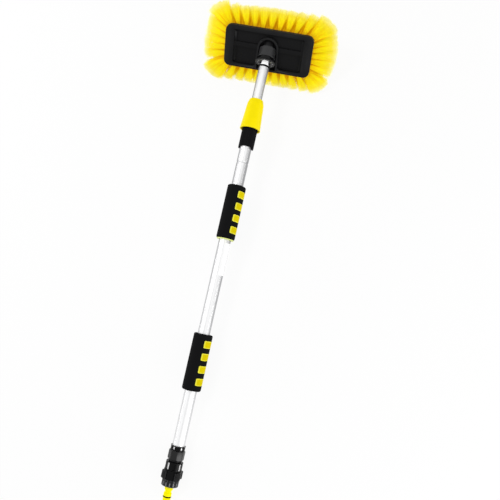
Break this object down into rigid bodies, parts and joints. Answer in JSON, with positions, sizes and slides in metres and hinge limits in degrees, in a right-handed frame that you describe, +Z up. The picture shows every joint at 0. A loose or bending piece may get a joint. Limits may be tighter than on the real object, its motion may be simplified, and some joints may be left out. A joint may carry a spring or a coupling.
{
  "type": "car wash brush",
  "caption": "Telescopic flow-through car wash brush: fanned bristle head on an inclined socket, twist-lock pole with foam grips, and a hose end with a turning water valve.",
  "frame": {"origin": "centre of the bounding box's footprint, on the floor that the brush lies on: it rests on the valve ring's lugs and on the lowest bristle tips", "axes": "+Y along the pole from the hose inlet towards the head, +X to the right when looking along +Y, +Z up"},
  "size_m": [0.2922, 1.0302, 0.1307],
  "materials": {
    "white_aluminium": "satin silver-white tube",
    "bright_aluminium": "smooth bright tube",
    "black_foam": "fine closed-cell foam, matt",
    "yellow_insert": "soft matt moulding",
    "lime_ring": "thin moulded ring",
    "yellow_sleeve": "satin-gloss moulding",
    "yellow_nipple": "gloss moulding",
    "yellow_bristle": "soft split-end bristle tufts",
    "black_satin": "satin moulding",
    "black_gloss": "gloss moulding",
    "black_head": "fine-grained moulding",
    "dark_grey_plastic": "smooth satin moulding",
    "black_seal": "smooth rubber",
    "black_nylon": "smooth nylon",
    "white_nylon": "smooth nylon"
  },
  "bodies": {
    "handle": {"outer_tube": "white_aluminium", "lower_grip": "black_foam", "lower_grip_insert_1": "yellow_insert", "lower_grip_insert_2": "yellow_insert", "lower_grip_insert_3": "yellow_insert", "lower_grip_insert_4": "yellow_insert", "upper_grip": "black_foam", "upper_grip_insert_1": "yellow_insert", "upper_grip_insert_2": "yellow_insert", "upper_grip_insert_3": "yellow_insert", "upper_grip_insert_4": "yellow_insert", "upper_grip_end_ring": "lime_ring", "lock_collar": "black_satin", "lock_collet": "white_nylon", "connector_collar": "black_satin", "hex_body": "black_satin", "fluted_sleeve": "black_satin", "hose_nipple": "yellow_nipple", "nipple_seal": "black_seal", "nipple_washer": "black_seal"},
    "guide": {"inner_tube_guide": "black_nylon", "piston_seal": "black_seal"},
    "extension": {"inner_tube": "bright_aluminium", "tube_ferrule": "bright_aluminium", "ferrule_ring": "black_seal", "pole_socket": "dark_grey_plastic", "socket_seal": "black_seal", "head_back": "black_head", "head_gasket": "black_seal", "bristle_slice_1": "yellow_bristle", "bristle_slice_2": "yellow_bristle", "bristle_slice_3": "yellow_bristle", "bristle_slice_4": "yellow_bristle", "bristle_slice_5": "yellow_bristle", "bristle_slice_6": "yellow_bristle", "bristle_slice_7": "yellow_bristle", "bristle_slice_8": "yellow_bristle"},
    "lock_sleeve": {"lock_sleeve": "yellow_sleeve", "wiper_seal": "black_seal"},
    "valve_ring": {"valve_ring": "black_satin"},
    "valve_plug": {"valve_plug": "white_nylon"},
    "socket_nut": {"socket_nut": "black_gloss"},
    "union_nut": {"union_nut": "black_gloss"}
  },
  "joints": [
    {"name": "tube_slide", "type": "slide", "parent": "handle", "child": "guide", "axis": [0, 0.9974, 0.0718], "range_m": [0, 0.589]},
    {"name": "head_turn", "type": "hinge", "parent": "guide", "child": "extension", "pos_m": [0, 0.43181, 0.08411], "axis": [0, 0.9974, 0.0718], "continuous": true},
    {"name": "lock_sleeve_turn", "type": "hinge", "parent": "handle", "child": "lock_sleeve", "pos_m": [0, 0.25368, 0.07129], "axis": [0, 0.9974, 0.0718], "range_deg": [0, 120]},
    {"name": "valve_ring_turn", "type": "hinge", "parent": "handle", "child": "valve_ring", "pos_m": [0, -0.46836, 0.0193], "axis": [0, 0.9974, 0.0718], "range_deg": [0, 90]},
    {"name": "valve_plug_lift", "type": "slide", "parent": "handle", "child": "valve_plug", "axis": [0, 0.9974, 0.0718], "range_m": [0, 0.004]},
    {"name": "socket_nut_turn", "type": "hinge", "parent": "extension", "child": "socket_nut", "pos_m": [0, 0.40488, 0.08217], "axis": [0, 0.9974, 0.0718], "range_deg": [0, 360]},
    {"name": "union_nut_turn", "type": "hinge", "parent": "handle", "child": "union_nut", "pos_m": [0, -0.48172, 0.01834], "axis": [0, 0.9974, 0.0718], "range_deg": [0, 360]}
  ],
  "couplings": [
    {"joint": "valve_plug_lift", "follows": "valve_ring_turn", "m_per_rad": 0.0025464}
  ]
}
